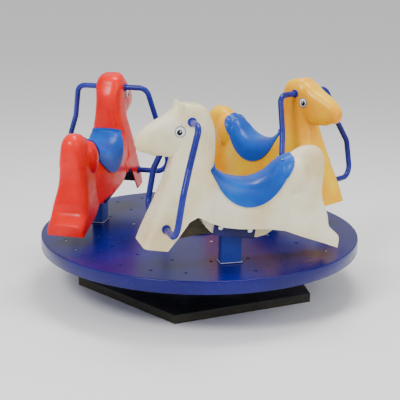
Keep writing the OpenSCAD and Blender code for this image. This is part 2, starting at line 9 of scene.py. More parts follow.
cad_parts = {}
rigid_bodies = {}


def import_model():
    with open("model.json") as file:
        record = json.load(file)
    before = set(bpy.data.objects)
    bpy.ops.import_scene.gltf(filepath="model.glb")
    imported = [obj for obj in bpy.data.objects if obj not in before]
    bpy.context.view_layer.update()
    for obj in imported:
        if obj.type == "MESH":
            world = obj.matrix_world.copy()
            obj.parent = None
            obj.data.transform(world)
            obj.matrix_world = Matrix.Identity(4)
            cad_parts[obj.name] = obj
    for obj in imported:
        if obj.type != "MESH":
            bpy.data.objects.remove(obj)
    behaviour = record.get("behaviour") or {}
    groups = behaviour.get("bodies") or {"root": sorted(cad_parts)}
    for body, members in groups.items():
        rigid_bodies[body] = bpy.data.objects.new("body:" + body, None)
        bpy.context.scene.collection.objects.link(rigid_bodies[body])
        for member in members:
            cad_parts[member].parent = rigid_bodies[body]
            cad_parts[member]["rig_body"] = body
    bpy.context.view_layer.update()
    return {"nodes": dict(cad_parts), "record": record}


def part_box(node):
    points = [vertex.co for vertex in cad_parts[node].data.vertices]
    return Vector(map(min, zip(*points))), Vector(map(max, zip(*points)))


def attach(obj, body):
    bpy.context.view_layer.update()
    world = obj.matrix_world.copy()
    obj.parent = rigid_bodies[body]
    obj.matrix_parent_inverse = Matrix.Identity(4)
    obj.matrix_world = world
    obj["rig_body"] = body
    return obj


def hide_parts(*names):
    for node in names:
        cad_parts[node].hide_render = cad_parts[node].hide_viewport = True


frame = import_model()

BASE = "base"
CAROUSEL = "carousel"
COATS = ("white", "yellow", "red")
scene = bpy.context.scene


# ---------------------------------------------------------------- camera, floor and light
def make_camera():
    """The photograph's view: a long lens, looking slightly down, with a trace of roll."""
    place = Vector((0.0, -4.754, 1.670))
    pitch, roll = math.radians(14.908), math.radians(0.762)
    forward = Vector((0.0, math.cos(pitch), -math.sin(pitch)))
    right = Vector((1.0, 0.0, 0.0))
    up = right.cross(forward)
    x = right * math.cos(roll) + up * math.sin(roll)
    y = up * math.cos(roll) - right * math.sin(roll)
    z = -forward
    data = bpy.data.cameras.new("camera")
    data.sensor_width = 36.0
    data.lens = 93.25
    camera = bpy.data.objects.new("camera", data)
    turn = Matrix((x, y, z)).transposed().to_4x4()
    camera.matrix_world = Matrix.Translation(place) @ turn
    scene.collection.objects.link(camera)
    scene.camera = camera


def make_light(name, place, target, size, power):
    """A rectangular lamp that faces its target."""
    data = bpy.data.lights.new(name, "AREA")
    data.shape = "RECTANGLE"
    data.size, data.size_y = size
    data.energy = power
    light = bpy.data.objects.new(name, data)
    light.location = place
    aim = Vector(target) - Vector(place)
    light.rotation_euler = aim.to_track_quat("-Z", "Y").to_euler()
    scene.collection.objects.link(light)


def make_stage():
    """A wide flat pale floor, a soft white world and three lamps."""
    world = bpy.data.worlds.new("studio")
    scene.world = world
    world.use_nodes = True
    back = world.node_tree.nodes["Background"]
    back.inputs["Color"].default_value = (1.0, 1.0, 1.0, 1.0)
    back.inputs["Strength"].default_value = 0.7
    mesh = bpy.data.meshes.new("floor")
    half = 40.0
    corners = [(-half, -half, 0), (half, -half, 0), (half, half, 0), (-half, half, 0)]
    mesh.from_pydata(corners, [], [(0, 1, 2, 3)])
    floor = bpy.data.objects.new("floor", mesh)
    scene.collection.objects.link(floor)
    material = bpy.data.materials.new("floor")
    material.use_nodes = True
    shader = material.node_tree.nodes["Principled BSDF"]
    shader.inputs["Base Color"].default_value = (0.96, 0.96, 0.96, 1.0)
    shader.inputs["Roughness"].default_value = 0.85
    mesh.materials.append(material)
    make_light("key", (-2.2, -3.2, 3.8), (0, 0, 0.5), (1.4, 1.4), 150)
    make_light("fill", (3.6, -2.2, 2.6), (0, 0, 0.5), (2.4, 2.4), 60)
    make_light("top", (0.4, 0.6, 4.2), (0, 0, 0.4), (2.0, 1.2), 110)


make_camera()
make_stage()


# ---------------------------------------------------------------- materials
MATERIALS = {}


class Nodes:
    """A new material, listed in MATERIALS, with short ways to wire its nodes."""

    def __init__(self, name):
        self.material = bpy.data.materials.new(name)
        self.material.use_nodes = True
        MATERIALS[name] = self.material
        self.tree = self.material.node_tree
        self.shader = self.tree.nodes["Principled BSDF"]
        coords = self.tree.nodes.new("ShaderNodeTexCoord")
        self.place = coords.outputs["Object"]

    def link(self, source, target):
        self.tree.links.new(source, target)

    def set(self, **values):
        for name, value in values.items():
            self.shader.inputs[name.replace("_", " ")].default_value = value

    def noise(self, scale, detail=3.0, roughness=0.5, stretch=None):
        node = self.tree.nodes.new("ShaderNodeTexNoise")
        node.inputs["Scale"].default_value = scale
        node.inputs["Detail"].default_value = detail
        node.inputs["Roughness"].default_value = roughness
        place = self.place
        if stretch:
            mapping = self.tree.nodes.new("ShaderNodeMapping")
            mapping.inputs["Scale"].default_value = stretch
            self.link(place, mapping.inputs["Vector"])
            place = mapping.outputs["Vector"]
        self.link(place, node.inputs["Vector"])
        return node.outputs["Fac"]

    def ramp(self, source, stops):
        node = self.tree.nodes.new("ShaderNodeValToRGB")
        elements = node.color_ramp.elements
        while len(elements) < len(stops):
            elements.new(0.5)
        for element, (at, colour) in zip(elements, stops):
            element.position = at
            element.color = (*colour, 1.0)
        self.link(source, node.inputs["Fac"])
        return node.outputs["Color"]

    def grey(self, source, low, high, at=(0.3, 0.7)):
        return self.ramp(source, [(at[0], (low,) * 3), (at[1], (high,) * 3)])

    def mix(self, factor, a, b, mode="MIX"):
        node = self.tree.nodes.new("ShaderNodeMix")
        node.data_type = "RGBA"
        node.blend_type = mode
        for value, socket in ((factor, node.inputs[0]), (a, node.inputs[6]), (b, node.inputs[7])):
            if isinstance(value, bpy.types.NodeSocket):
                self.link(value, socket)
            else:
                socket.default_value = (*value, 1.0) if isinstance(value, tuple) else value
        return node.outputs[2]

    def height(self):
        node = self.tree.nodes.new("ShaderNodeSeparateXYZ")
        self.link(self.place, node.inputs[0])
        return node.outputs["Z"]

    def bump(self, source, strength, distance):
        node = self.tree.nodes.new("ShaderNodeBump")
        node.inputs["Strength"].default_value = strength
        node.inputs["Distance"].default_value = distance
        self.link(source, node.inputs["Height"])
        self.link(node.outputs["Normal"], self.shader.inputs["Normal"])


def moulded(name, colour, deep, pale, gloss=0.22):
    """Glossy gel-coated moulding: slow colour drift, fine ripple, and a hard clear top layer."""
    n = Nodes(name)
    drift = n.ramp(n.noise(5.5, 4), [(0.36, deep), (0.52, colour), (0.68, pale)])
    specks = n.grey(n.noise(160.0, 2), 0.96, 1.0, (0.38, 0.46))
    n.link(n.mix(1.0, drift, specks, "MULTIPLY"), n.shader.inputs["Base Color"])
    n.link(n.grey(n.noise(14.0, 5), gloss, gloss + 0.14), n.shader.inputs["Roughness"])
    n.set(IOR=1.5, Specular_IOR_Level=0.22, Coat_Weight=0.07, Coat_Roughness=0.1)
    n.bump(n.noise(38.0, 3), 0.12, 0.003)


def enamel(name, colour, deep, pale, gloss=0.25, ripple=0.10, patchy=0.16):
    """Sprayed enamel on steel: orange peel, faint scuffs and a slow change of tone."""
    n = Nodes(name)
    drift = n.ramp(n.noise(4.0, 5), [(0.34, deep), (0.55, colour), (0.74, pale)])
    scuffs = n.grey(n.noise(30.0, 8, 0.7, (1.0, 1.0, 0.35)), 0.0, 0.22, (0.66, 0.80))
    n.link(n.mix(scuffs, drift, pale), n.shader.inputs["Base Color"])
    n.link(n.grey(n.noise(22.0, 6, 0.65), gloss, gloss + patchy), n.shader.inputs["Roughness"])
    n.set(IOR=1.5, Specular_IOR_Level=0.25, Coat_Weight=0.05, Coat_Roughness=0.15)
    n.bump(n.noise(260.0, 2), ripple, 0.0008)


def metal(name, colour, rough, brushed=(1.0, 1.0, 12.0)):
    """Bare metal with a fine grain drawn out along one axis."""
    n = Nodes(name)
    tone = tuple(c * 0.72 for c in colour)
    n.link(n.ramp(n.noise(40.0, 6, 0.6), [(0.3, tone), (0.7, colour)]), n.shader.inputs["Base Color"])
    n.link(n.grey(n.noise(90.0, 4, 0.6, brushed), rough, rough + 0.2), n.shader.inputs["Roughness"])
    n.set(Metallic=1.0)
    n.bump(n.noise(300.0, 3, 0.5, brushed), 0.15, 0.0005)


def dull(name, colour, pale, rough, scale=60.0, depth=0.001):
    """Matt, mottled surface such as rubber, rough board or a bolt; on the saddle screws the paler colour is
    a painted highlight.
    """
    n = Nodes(name)
    n.link(n.ramp(n.noise(scale, 6, 0.6), [(0.35, colour), (0.7, pale)]), n.shader.inputs["Base Color"])
    n.link(n.grey(n.noise(scale * 1.7, 4), rough - 0.1, rough + 0.1), n.shader.inputs["Roughness"])
    n.bump(n.noise(scale * 2.5, 5), 0.4, depth)


def raw_fibre_with_painted_shade(name, colour, dark):
    """The rough inside of a glass-fibre moulding: strands in resin, in colours far darker than the coat's
    own, which paint in the shade inside the hollow shell.
    """
    n = Nodes(name)
    strands = n.noise(55.0, 8, 0.8, (1.0, 2.6, 0.6))
    n.link(n.ramp(strands, [(0.35, dark), (0.62, colour)]), n.shader.inputs["Base Color"])
    n.set(Roughness=0.65, IOR=1.5)
    n.bump(strands, 0.7, 0.003)


def base_board():
    """Black-painted timber board, worn to olive brown along its lower edge and in streaks."""
    n = Nodes("base_board")
    grain = n.noise(9.0, 8, 0.7, (1.0, 1.0, 7.0))
    paint = n.ramp(n.noise(24.0, 6), [(0.3, (0.004, 0.004, 0.003)), (0.75, (0.014, 0.013, 0.009))])
    wood = n.ramp(grain, [(0.35, (0.012, 0.010, 0.003)), (0.7, (0.055, 0.047, 0.016))])
    low = n.grey(n.height(), 1.0, 0.0, (0.014, 0.030))
    worn = n.mix(1.0, low, n.grey(grain, 0.15, 1.0, (0.40, 0.60)), "MULTIPLY")
    n.link(n.mix(worn, paint, wood), n.shader.inputs["Base Color"])
    n.link(n.grey(grain, 0.45, 0.8), n.shader.inputs["Roughness"])
    n.bump(grain, 0.6, 0.002)


# A name, then for most the main, darker and paler colour, then what differs from the usual
moulded("white_shell", (0.82, 0.73, 0.48), (0.74, 0.60, 0.32), (0.88, 0.83, 0.66))
moulded("yellow_shell", (1.0, 0.50, 0.0), (0.94, 0.36, 0.0), (1.0, 0.64, 0.0))
moulded("red_shell", (0.86, 0.002, 0.001), (0.72, 0.001, 0.001), (0.94, 0.010, 0.004))
moulded("saddle", (0.001, 0.075, 0.44), (0.001, 0.05, 0.32), (0.003, 0.12, 0.54), 0.28)
# Shell insides: raw fibre tone, darkened to near black as painted shade inside the hollow shells
raw_fibre_with_painted_shade("white_inside", (0.070, 0.055, 0.030), (0.020, 0.016, 0.010))
raw_fibre_with_painted_shade("yellow_inside", (0.080, 0.036, 0.003), (0.020, 0.010, 0.003))
raw_fibre_with_painted_shade("red_inside", (0.012, 0.006, 0.022), (0.004, 0.003, 0.010))
enamel("deck_paint", (0.004, 0.003, 0.14), (0.003, 0.002, 0.10), (0.006, 0.006, 0.18), 0.22, 0.03, 0.06)
enamel("frame_paint", (0.008, 0.028, 0.28), (0.006, 0.020, 0.20), (0.016, 0.05, 0.36))
enamel("bracket_paint", (0.006, 0.006, 0.10), (0.004, 0.004, 0.06), (0.012, 0.014, 0.15))
enamel("handle_paint", (0.014, 0.022, 0.26), (0.010, 0.014, 0.16), (0.04, 0.05, 0.40), 0.2)
enamel("cap_paint", (0.004, 0.005, 0.10), (0.003, 0.004, 0.07), (0.010, 0.012, 0.16))
# Saddle screws: blue paint, lightened to pale blue as a painted highlight on the heads
dull("saddle_bolt_with_painted_highlight", (0.03, 0.10, 0.30), (0.10, 0.22, 0.48), 0.3)
metal("steel", (0.55, 0.56, 0.58), 0.28)
metal("zinc", (0.78, 0.80, 0.82), 0.22, (1.0, 1.0, 1.0))
metal("bearing_steel", (0.80, 0.81, 0.83), 0.08)
metal("cage_brass", (0.75, 0.56, 0.22), 0.25)
dull("seal_rubber", (0.010, 0.010, 0.010), (0.030, 0.030, 0.030), 0.75)
# Leg boards: brown wood, its tone darkened to the shade inside the shell (painted shade)
dull("board", (0.020, 0.014, 0.005), (0.085, 0.062, 0.022), 0.6, 26.0, 0.003)
moulded("eye_white", (0.83, 0.84, 0.84), (0.78, 0.79, 0.80), (0.88, 0.88, 0.88), 0.12)
moulded("eye_black", (0.008, 0.008, 0.010), (0.006, 0.006, 0.008), (0.014, 0.014, 0.016), 0.08)
moulded("eye_ring", (0.20, 0.23, 0.26), (0.15, 0.17, 0.20), (0.28, 0.31, 0.34), 0.2)
base_board()
# Weld bead: a real bead, given pale bluish bare metal instead of the frame's paint to stand for the bright
# line at each post's foot (painted highlight)
metal("weld", (0.62, 0.66, 0.80), 0.35, (1.0, 1.0, 1.0))
SLOT_OF = {part["node"]: part["material_slot"] for part in frame["record"]["subparts"]}


# ---------------------------------------------------------------- mesh helpers
MM = 0.001
MERGE = 1e-5
CUT_MERGE = 2e-4


def new_object(name, verts, faces):
    """An object from points in metres, linked to the scene."""
    mesh = bpy.data.meshes.new(name)
    mesh.from_pydata([tuple(map(float, v)) for v in verts], [], [tuple(map(int, f)) for f in faces])
    mesh.validate()
    mesh.update()
    obj = bpy.data.objects.new(name, mesh)
    scene.collection.objects.link(obj)
    return obj


def baked(obj, *modifiers):
    """Applies modifiers, each (type, {settings}), and leaves the object with a plain mesh."""
    for kind, settings in modifiers:
        modifier = obj.modifiers.new(kind.lower(), kind)
        for key, value in settings.items():
            setattr(modifier, key, value)
    bpy.context.view_layer.update()
    graph = bpy.context.evaluated_depsgraph_get()
    mesh = bpy.data.meshes.new_from_object(obj.evaluated_get(graph))
    obj.modifiers.clear()
    obj.data = mesh
    return obj


def remove(*objects):
    for obj in objects:
        bpy.data.objects.remove(obj)


def smooth(obj, angle=40):
    """Smooth shading, with edges sharper than the angle kept crisp."""
    obj.data.shade_smooth()
    obj.data.set_sharp_from_angle(angle=math.radians(angle))
    return obj


def finish_piece(obj, body, slot, replaces=(), materials=None):
    """Sets a piece's materials, keeping its faces' slots, and ties it to its body and nodes."""
    names = materials or (slot,)
    slots = obj.data.materials
    while len(slots) < len(names):
        slots.append(None)
    for k in range(len(slots)):
        slots[k] = MATERIALS[names[min(k, len(names) - 1)]]
    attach(obj, body)
    if replaces:
        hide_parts(*replaces)


def outward(obj):
    """Turns every face of a closed mesh outward."""
    bm = bmesh.new()
    bm.from_mesh(obj.data)
    bmesh.ops.recalc_face_normals(bm, faces=bm.faces)
    bm.to_mesh(obj.data)
    bm.free()
    return obj


def join_meshes(name, parts):
    """One object from several (verts, faces) pairs."""
    verts, faces = [], []
    for v, f in parts:
        start = len(verts)
        verts.extend(v)
        faces.extend([tuple(start + k for k in face) for face in f])
    return new_object(name, verts, faces)


def ring_faces(rings, sides):
    """Faces of a closed solid of stacked rings: its skin, then its two ends."""
    faces = []
    for i in range(rings - 1):
        for k in range(sides):
            here, after = i * sides, (i + 1) * sides
            step = (k + 1) % sides
            faces.append((here + k, here + step, after + step, after + k))
    faces.append(tuple(reversed(range(sides))))
    faces.append(tuple((rings - 1) * sides + k for k in range(sides)))
    return faces


def bevel(width, segments, angle):
    """A modifier for baked that rounds the edges sharper than the angle, in degrees."""
    settings = {
        "width": width, "segments": segments,
        "limit_method": "ANGLE", "angle_limit": math.radians(angle),
    }
    return "BEVEL", settings


def rounded_copy(node, name, modifier, flat=2):
    """A copy of a CAD node, its faces merged where flat within so many degrees, its edges rounded."""
    obj = bpy.data.objects.new(name, frame["nodes"][node].data.copy())
    scene.collection.objects.link(obj)
    bm = bmesh.new()
    bm.from_mesh(obj.data)
    bmesh.ops.remove_doubles(bm, verts=bm.verts, dist=MERGE)
    bmesh.ops.dissolve_limit(bm, angle_limit=math.radians(flat), verts=bm.verts, edges=bm.edges)
    bm.to_mesh(obj.data)
    bm.free()
    baked(obj, modifier)
    return smooth(obj, 35)


def softened(node, radius, segments=3, material=None):
    """A copy of a CAD node with its edges rounded, which then stands for the node."""
    obj = rounded_copy(node, node + "_softened", bevel(radius, segments, 30))
    slot = SLOT_OF[node]
    finish_piece(obj, frame["nodes"][node]["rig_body"], slot, [node], (material or slot,))


# ---------------------------------------------------------------- horse
DECK_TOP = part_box("deck_plate")[1].z
HORSE_R = 0.503
FIRST_AZIMUTH = -74.0
# How far an open end is carried past the underside cut, in millimetres, and how square it is
OPEN_REACH = 70.0
OPEN_SQUARE = 16.0
RING_N = 72
LOFT_STEPS = 5
CUT_HALF_W = 160


def horse_matrix(i):
    """From a horse's own frame (X to the nose, Y to its left, Z up from the deck) to the part's frame."""
    turn = Matrix.Rotation(math.radians(FIRST_AZIMUTH + 120 * i), 4, "Z")
    return turn @ Matrix.Translation((HORSE_R, 0, DECK_TOP)) @ Matrix.Rotation(math.radians(-90), 4, "Z")


# Cross-sections of the body, in millimetres: the two ends of the middle line, the half width,
# the open end (-1 first, 1 second, 0 none) and the squareness of the closed corners.
RUMP = [
    (-470, 107, -459, 55, 86, 1, 4.5), (-425, 152, -392, 82, 89, 1, 4.5), (-421, 200, -290, 117, 86, 1, 4.0),
    (-397, 285, -212, 152, 74, 1, 3.6), (-403, 370, -212, 300, 64, 0, 3.2),
    (-407, 436, -228, 416, 55, 0, 2.8),
    (-396, 474, -256, 464, 46, 0, 2.4), (-368, 498, -300, 494, 27, 0, 2.2),
]
BELLY = [
    (178, 236, 170, 470, 88, -1, 3.2), (120, 206, 112, 440, 92, -1, 3.2), (60, 184, 60, 398, 95, -1, 3.2),
    (0, 174, 5, 374, 96, -1, 3.2), (-77, 168, -77, 366, 95, -1, 3.2), (-150, 160, -146, 392, 88, -1, 3.0),
    (-215, 146, -195, 436, 76, -1, 2.8), (-290, 118, -262, 470, 60, -1, 2.6),
]
NECK = [
    (330, 60, 430, 76, 99, -1, 9), (307, 98, 407, 114, 98.5, -1, 9), (264, 150, 389, 160, 98, -1, 9),
    (214, 218, 354, 240, 97, -1, 7), (150, 292, 330, 302, 94, 0, 5), (108, 370, 304, 372, 88, 0, 4),
    (95, 448, 284, 432, 78, 0, 3.6), (87, 518, 276, 486, 66, 0, 3.2), (89, 590, 290, 560, 63, 0, 3.0),
    (107, 640, 262, 640, 66, 0, 3.2), (122, 676, 242, 686, 57, 0, 2.9), (148, 694, 224, 704, 42, 0, 2.5),
]
HEAD = [
    (427, 537, 426, 560, 14, 0, 2.2), (422, 524, 419, 572, 26, 0, 2.4), (412, 511, 408, 584, 34, 0, 2.6),
    (394, 503, 388, 603, 40, 0, 2.8), (366, 500, 344, 631, 47, 0, 2.9), (326, 490, 292, 658, 56, 0, 3.0),
    (286, 482, 246, 688, 62, 0, 3.0), (210, 510, 180, 690, 60, 0, 3.0),
]
# The underside's outline from the hoof to the foot, then round below it
UNDERSIDE = [
    (-459, 55), (-392, 82), (-290, 118), (-215, 146), (-150, 160), (-77, 168), (0, 174), (60, 184),
    (120, 206), (178, 236), (214, 218), (264, 150), (307, 98), (407, 114), (520, 132),
    (520, -90), (-445, -90),
]


def spline(points, steps, closed=False):
    """Catmull-Rom through rows of numbers, with the given steps between each pair."""
    p = np.array(points, float)
    count = len(p)
    out = []
    for k in range(count if closed else count - 1):
        if closed:
            a, b, c, d = p[k - 1], p[k], p[(k + 1) % count], p[(k + 2) % count]
        else:
            b, c = p[k], p[k + 1]
            a = p[k - 1] if k > 0 else 2 * b - c
            d = p[k + 2] if k + 2 < count else 2 * c - b
        for s in range(steps):
            t = s / steps
            out.append(0.5 * (2 * b + (c - a) * t + (2 * a - 5 * b + 4 * c - d) * t * t
                              + (3 * b - a - 3 * c + d) * t ** 3))
    if not closed:
        out.append(p[-1])
    return np.array(out)


def section_ring(s):
    """Points in metres round one cross-section, carried on past its open end if it has one."""
    low, high = np.array(s[0:2]), np.array(s[2:4])
    lean = (high - low) / np.linalg.norm(high - low)
    half_w, open_end, square = s[4:7]
    if open_end < 0:
        low = low - lean * OPEN_REACH
    if open_end > 0:
        high = high + lean * OPEN_REACH
    ring = []
    for k in range(RING_N):
        t = 2 * math.pi * k / RING_N
        c, d = math.cos(t), math.sin(t)
        e = OPEN_SQUARE if open_end * c > 0.01 else square
        along = math.copysign(abs(c) ** (2 / e), c)
        across = math.copysign(abs(d) ** (2 / e), d)
        middle = (low + high) / 2 + (high - low) / 2 * along
        ring.append((middle[0] * MM, half_w * across * MM, middle[1] * MM))
    return ring


def loft(rows):
    """Closed solid through cross-sections, as (verts, faces)."""
    fine = spline(rows, LOFT_STEPS)
    fine[:, 5] = np.repeat([r[5] for r in rows], LOFT_STEPS)[: len(fine)]
    verts = [p for s in fine for p in section_ring(s)]
    return verts, ring_faces(len(fine), RING_N)


# Lobes of the body in millimetres: centre on the left side, radii, and degrees nose up
HIP = ((-262, 45, 376), (60, 42, 80), 8)
JAW = ((318, 0, 522), (60, 47, 33), -16)
EAR = ((236, 43, 680), (18, 13, 33), -14)


def ellipsoid(centre, radii, turn, side=1):
    """Closed ellipsoid on the left (1) or right (-1) side of the horse, as (verts, faces)."""
    rings, sides = 16, 24
    ca, sa = math.cos(math.radians(turn)), math.sin(math.radians(turn))
    verts = []
    for i in range(1, rings):
        a = math.pi * i / rings
        for k in range(sides):
            b = 2 * math.pi * k / sides
            x = radii[0] * math.sin(a) * math.cos(b)
            y = radii[1] * math.sin(a) * math.sin(b)
            z = radii[2] * math.cos(a)
            x, z = x * ca - z * sa, x * sa + z * ca
            verts.append(((centre[0] + x) * MM, (side * centre[1] + y) * MM, (centre[2] + z) * MM))
    faces = []
    for i in range(rings - 2):
        for k in range(sides):
            here, after = i * sides, (i + 1) * sides
            step = (k + 1) % sides
            faces.append((here + k, after + k, after + step, here + step))
    faces.append(tuple(range(sides)))
    faces.append(tuple(reversed([(rings - 2) * sides + k for k in range(sides)])))
    return verts, faces


def extruded(name, start, end):
    """Closed solid between two copies of an outline, whose points match one to one."""
    n = len(start)
    faces = [(k, (k + 1) % n, n + (k + 1) % n, n + k) for k in range(n)]
    faces += [tuple(reversed(range(n))), tuple(range(n, 2 * n))]
    return outward(new_object(name, start + end, faces))


def prism(name, outline, half_width):
    """Outline in millimetres in the side view, extruded across the horse."""
    return extruded(name, *([(x * MM, side * half_width * MM, z * MM) for x, z in outline]
                            for side in (-1, 1)))


def plan_prism(name, outline, low, high):
    """Outline in millimetres seen from above, extruded from one height to another."""
    return extruded(name, *([(x * MM, y * MM, z * MM) for x, y in outline] for z in (low, high)))


def body_solid(name, voxel, smoothing, with_head=False, with_ears=False):
    """One closed, smooth solid of the horse, before its underside is opened."""
    parts = [loft(RUMP), loft(BELLY), loft(NECK)]
    parts += [ellipsoid(*HIP, side) for side in (-1, 1)]
    if with_head:
        parts += [loft(HEAD), ellipsoid(*JAW)]
    if with_ears:
        parts += [ellipsoid(*EAR, side) for side in (-1, 1)]
    obj = outward(join_meshes(name, parts))
    baked(obj, ("REMESH", {"mode": "VOXEL", "voxel_size": voxel, "adaptivity": 0.0}))
    baked(obj, ("SMOOTH", {"factor": 0.5, "iterations": smoothing}))
    return obj


def mark(obj, index):
    """Two material slots, with every face set to one of them, so that a cut can be told later."""
    obj.data.materials.clear()
    obj.data.materials.append(MATERIALS["steel"])
    obj.data.materials.append(MATERIALS["zinc"])
    obj.data.polygons.foreach_set("material_index", [index] * len(obj.data.polygons))


def open_cut(obj, cutter, operation):
    """Cuts a closed solid with another and deletes the faces that the cutter leaves."""
    mark(obj, 0)
    mark(cutter, 1)
    settings = {"operation": operation, "object": cutter, "solver": "EXACT", "material_mode": "INDEX"}
    baked(obj, ("BOOLEAN", settings))
    bm = bmesh.new()
    bm.from_mesh(obj.data)
    bmesh.ops.delete(bm, geom=[f for f in bm.faces if f.material_index == 1], context="FACES")
    bmesh.ops.remove_doubles(bm, verts=bm.verts, dist=CUT_MERGE)
    bm.to_mesh(obj.data)
    bm.free()
    remove(cutter)
    return obj


def thicken(obj, thickness, offset, inside=0):
    """Gives an open skin its wall, with the inner side on its own material slot."""
    settings = {
        "thickness": thickness, "offset": offset, "use_even_offset": False, "use_rim": True,
        "material_offset": inside, "material_offset_rim": 0,
    }
    return baked(obj, ("SOLIDIFY", settings))


def place_horse(obj, i):
    """Moves a mesh made in the horse's own frame onto horse i."""
    obj.data.transform(horse_matrix(i))
    return obj


def placed_copy(template, name, i):
    """A smoothly shaded copy of a template on horse i."""
    obj = bpy.data.objects.new(name, template.data.copy())
    scene.collection.objects.link(obj)
    return smooth(place_horse(obj, i), 50)


WALL = 0.006
SADDLE_T = 0.007
VOXEL = 0.0045
SHELL_SMOOTHING = 7
SADDLE_SMOOTHING = 24


def make_shell(i, template):
    """One horse's moulding, with its inside (raw fibre darkened as painted shade) on a second material."""
    coat = COATS[i]
    obj = placed_copy(template, coat + "_horse", i)
    finish_piece(obj, CAROUSEL, coat + "_shell", [coat + "_shell"], (coat + "_shell", coat + "_inside"))


def shell_template(with_ears):
    """The hollow moulding, open underneath, in the horse's own frame."""
    obj = body_solid("template", VOXEL, SHELL_SMOOTHING, True, with_ears)
    open_cut(obj, prism("underside_cut", UNDERSIDE, CUT_HALF_W), "DIFFERENCE")
    return thicken(obj, WALL, -1.0, 1)


eared = shell_template(True)
plain = shell_template(False)
for index in range(3):
    make_shell(index, eared if index == 0 else plain)
remove(eared, plain)


# ---------------------------------------------------------------- keel and belly floor
# The bracket's frame in a horse's side view, and the keel and floor in it, in millimetres
TILT = 9.0
MOUNT = (7, 154)
KEEL = [(-190, 35), (-146, -4), (-106, -19), (95, -19), (124, 2), (150, 32), (163, 35)]
KEEL_HALF = 52.5
FLOOR = [(-165, 29), (-165, 37), (112, 37), (112, 29)]
FLOOR_HALF = 84


def tilted_point(u, v):
    """A point of the bracket's tilted frame in the horse's own frame, in millimetres."""
    c, s = math.cos(math.radians(TILT)), math.sin(math.radians(TILT))
    return MOUNT[0] + u * c - v * s, MOUNT[1] + u * s + v * c


def tilted_prism(name, outline, half_width, modifier, i):
    """A prism from an outline in the bracket's tilted frame, with rounded edges, on horse i."""
    obj = prism(name, [tilted_point(u, v) for u, v in outline], half_width)
    baked(obj, modifier)
    return smooth(place_horse(obj, i), 40)


def make_keel(i):
    """The keel that sits in the bracket, and the belly floor above it inside the shell."""
    coat = COATS[i]
    keel = tilted_prism(coat + "_keel", KEEL, KEEL_HALF, bevel(0.006, 3, 40), i)
    finish_piece(keel, CAROUSEL, coat + "_shell")
    floor = tilted_prism(coat + "_belly_floor", FLOOR, FLOOR_HALF, bevel(0.002, 2, 30), i)
    # The belly floor takes the inside's colour, which is darkened as painted shade
    finish_piece(floor, CAROUSEL, coat + "_shell", (), (coat + "_inside",))


for index in range(3):
    make_keel(index)


# ---------------------------------------------------------------- saddles
# The saddle's outline from the side, in millimetres
SADDLE = [
    (119, 432), (109, 404), (94, 374), (74, 336), (30, 292), (-35, 267), (-105, 276), (-165, 313),
    (-212, 366), (-243, 420), (-257, 448), (-252, 472), (-226, 500), (-60, 560), (50, 500), (90, 450),
]
# The saddle's half outline from above, which narrows at its rear
SADDLE_PLAN = [(140, 0), (140, 118), (0, 118), (-170, 116), (-222, 100), (-252, 62), (-268, 0)]
SADDLE_LOW, SADDLE_HIGH = 200, 620


def make_saddles():
    """Three hard skins cut from a rounder form of the body and thickened outward."""
    solid = body_solid("saddle_form", VOXEL * 0.9, SADDLE_SMOOTHING)
    outline = [tuple(p) for p in spline(SADDLE, 6, True)]
    open_cut(solid, prism("saddle_cut", outline, CUT_HALF_W), "INTERSECT")
    half = [tuple(p) for p in spline(SADDLE_PLAN, 6)]
    whole = half + [(x, -y) for x, y in reversed(half[1:-1])]
    open_cut(solid, plan_prism("saddle_plan", whole, SADDLE_LOW, SADDLE_HIGH), "INTERSECT")
    template = thicken(solid, SADDLE_T, 1.0)
    baked(template, bevel(0.0026, 3, 55))
    for i, coat in enumerate(COATS):
        obj = placed_copy(template, coat + "_saddle_skin", i)
        finish_piece(obj, CAROUSEL, "saddle", [coat + "_saddle"])
    remove(template)


make_saddles()


# ---------------------------------------------------------------- handles
TUBE_R = 13.4
BEND_STEP = 4.0
# Where the handle's ends enter the horse, in its side view
HEAD_SOCKET = (201, 633)
LEG_SOCKET = (315, 195)
# Corners of the left handle in millimetres, each with its bend radius
HANDLE_ROUTE = [
    (201, 30, 633, 0), (201, 176, 633, 45), (252, 212, 470, 60),
    (286, 253, 372, 60), (315, 256, 195, 62), (315, 60, 195, 0),
]


def rounded_route(route):
    """Points along straight runs joined by round bends, from corners with their bend radii."""
    corners = [np.array(c[:3], float) for c in route]
    points = [corners[0]]
    for k in range(1, len(route) - 1):
        a, b, c, r = corners[k - 1], corners[k], corners[k + 1], route[k][3]
        d = (b - a) / np.linalg.norm(b - a)
        e = (c - b) / np.linalg.norm(c - b)
        turn = math.acos(float(np.clip(d @ e, -1, 1)))
        z = np.cross(d, e) / np.linalg.norm(np.cross(d, e))
        x = np.cross(d, z)
        centre = b - d * r * math.tan(turn / 2) - x * r
        steps = max(4, math.ceil(r * turn / BEND_STEP))
        points += [centre + r * (x * math.cos(turn * j / steps) + d * math.sin(turn * j / steps))
                   for j in range(steps + 1)]
    points.append(corners[-1])
    return np.array(points)


def tube(points, radius, sides=28):
    """A round tube along points, as (verts, faces), its rings carried along without twist."""
    p = np.array(points, float)
    tangent = np.gradient(p, axis=0)
    tangent /= np.linalg.norm(tangent, axis=1)[:, None]
    u = np.cross(tangent[0], (1.0, 0.0, 0.02))
    u /= np.linalg.norm(u)
    verts = []
    for centre, t in zip(p, tangent):
        u = u - t * (u @ t)
        u /= np.linalg.norm(u)
        v = np.cross(t, u)
        for k in range(sides):
            a = 2 * math.pi * k / sides
            verts.append(centre + radius * (u * math.cos(a) + v * math.sin(a)))
    return [tuple(v * MM) for v in verts], ring_faces(len(p), sides)


